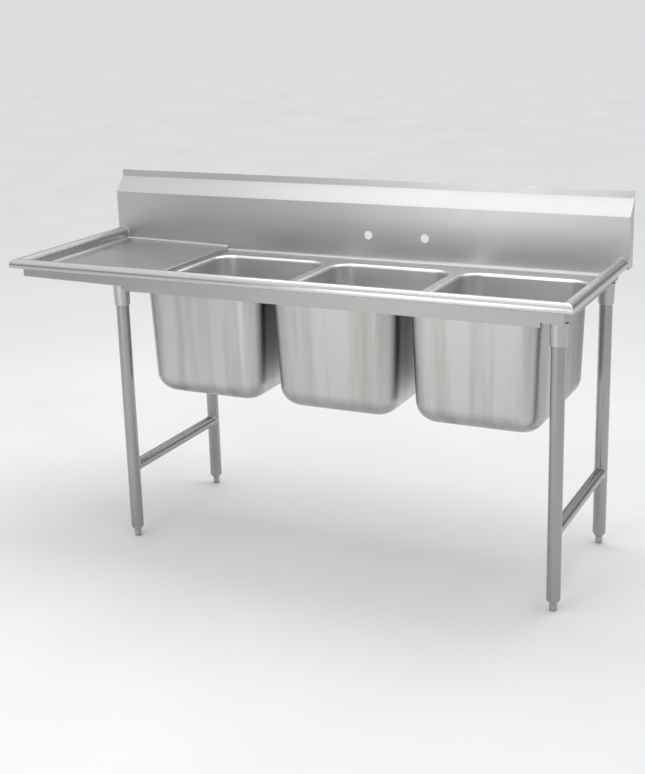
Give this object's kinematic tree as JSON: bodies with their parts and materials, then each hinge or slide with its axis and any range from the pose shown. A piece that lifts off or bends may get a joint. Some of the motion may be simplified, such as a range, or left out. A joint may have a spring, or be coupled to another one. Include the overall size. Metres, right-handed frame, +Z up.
{
  "type": "three compartment sink",
  "caption": "Free-standing stainless kitchen sink with a row of deep bowls, a pitched left drainboard, rolled rims, a tall backsplash with faucet holes, and tube legs on adjustable feet.",
  "frame": {"origin": "middle of the footprint, on the floor", "axes": "+X along the length, from the drainboard end to the far end; +Y to the wall behind; +Z up"},
  "size_m": [1.88, 0.686, 1.133],
  "materials": {
    "top_steel": "satin stainless sheet, straight grain",
    "splash_steel": "satin stainless sheet, lengthwise grain",
    "bowl_steel": "satin drawn stainless sheet",
    "tube_steel": "satin stainless tube, lengthwise grain",
    "socket_steel": "satin stainless, lighter than the tubes",
    "foot_steel": "satin stainless, turned",
    "drain_steel": "polished stainless",
    "gasket_rubber": "black rubber",
    "screw_steel": "dark plated steel"
  },
  "bodies": {
    "sink": {"deck_plate": "top_steel", "drainboard": "top_steel", "rim_front": "top_steel", "rim_left": "top_steel", "rim_right": "top_steel", "skirt_front": "top_steel", "skirt_left": "top_steel", "skirt_right": "top_steel", "backsplash": "splash_steel", "splash_cap_left": "splash_steel", "splash_cap_right": "splash_steel", "bowl_left": "bowl_steel", "drain_body_left": "drain_steel", "drain_gasket_left": "gasket_rubber", "drain_locknut_left": "drain_steel", "bowl_middle": "bowl_steel", "drain_body_middle": "drain_steel", "drain_gasket_middle": "gasket_rubber", "drain_locknut_middle": "drain_steel", "bowl_right": "bowl_steel", "drain_body_right": "drain_steel", "drain_gasket_right": "gasket_rubber", "drain_locknut_right": "drain_steel", "drainboard_channel": "socket_steel", "socket_plate_front_right": "socket_steel", "socket_plate_rear_right": "socket_steel", "leg_socket_front_left": "socket_steel", "set_screw_front_left": "screw_steel", "leg_front_left": "tube_steel", "foot_collar_front_left": "foot_steel", "leg_socket_front_right": "socket_steel", "set_screw_front_right": "screw_steel", "leg_front_right": "tube_steel", "foot_collar_front_right": "foot_steel", "leg_socket_rear_left": "socket_steel", "set_screw_rear_left": "screw_steel", "leg_rear_left": "tube_steel", "foot_collar_rear_left": "foot_steel", "leg_socket_rear_right": "socket_steel", "set_screw_rear_right": "screw_steel", "leg_rear_right": "tube_steel", "foot_collar_rear_right": "foot_steel", "side_rail_left": "tube_steel", "side_rail_right": "tube_steel"},
    "foot_front_left_body": {"foot_front_left": "foot_steel"},
    "foot_front_right_body": {"foot_front_right": "foot_steel"},
    "foot_rear_left_body": {"foot_rear_left": "foot_steel"},
    "foot_rear_right_body": {"foot_rear_right": "foot_steel"},
    "strainer_left_body": {"strainer_left": "drain_steel"},
    "strainer_middle_body": {"strainer_middle": "drain_steel"},
    "strainer_right_body": {"strainer_right": "drain_steel"}
  },
  "joints": [
    {"name": "foot_front_left_adjust", "type": "slide", "parent": "sink", "child": "foot_front_left_body", "axis": [0, 0, -1], "range_m": [0, 0.025]},
    {"name": "foot_front_right_adjust", "type": "slide", "parent": "sink", "child": "foot_front_right_body", "axis": [0, 0, -1], "range_m": [0, 0.025]},
    {"name": "foot_rear_left_adjust", "type": "slide", "parent": "sink", "child": "foot_rear_left_body", "axis": [0, 0, -1], "range_m": [0, 0.025]},
    {"name": "foot_rear_right_adjust", "type": "slide", "parent": "sink", "child": "foot_rear_right_body", "axis": [0, 0, -1], "range_m": [0, 0.025]},
    {"name": "strainer_left_lift", "type": "slide", "parent": "sink", "child": "strainer_left_body", "axis": [0, 0, 1], "range_m": [0, 0.08]},
    {"name": "strainer_middle_lift", "type": "slide", "parent": "sink", "child": "strainer_middle_body", "axis": [0, 0, 1], "range_m": [0, 0.08]},
    {"name": "strainer_right_lift", "type": "slide", "parent": "sink", "child": "strainer_right_body", "axis": [0, 0, 1], "range_m": [0, 0.08]}
  ]
}
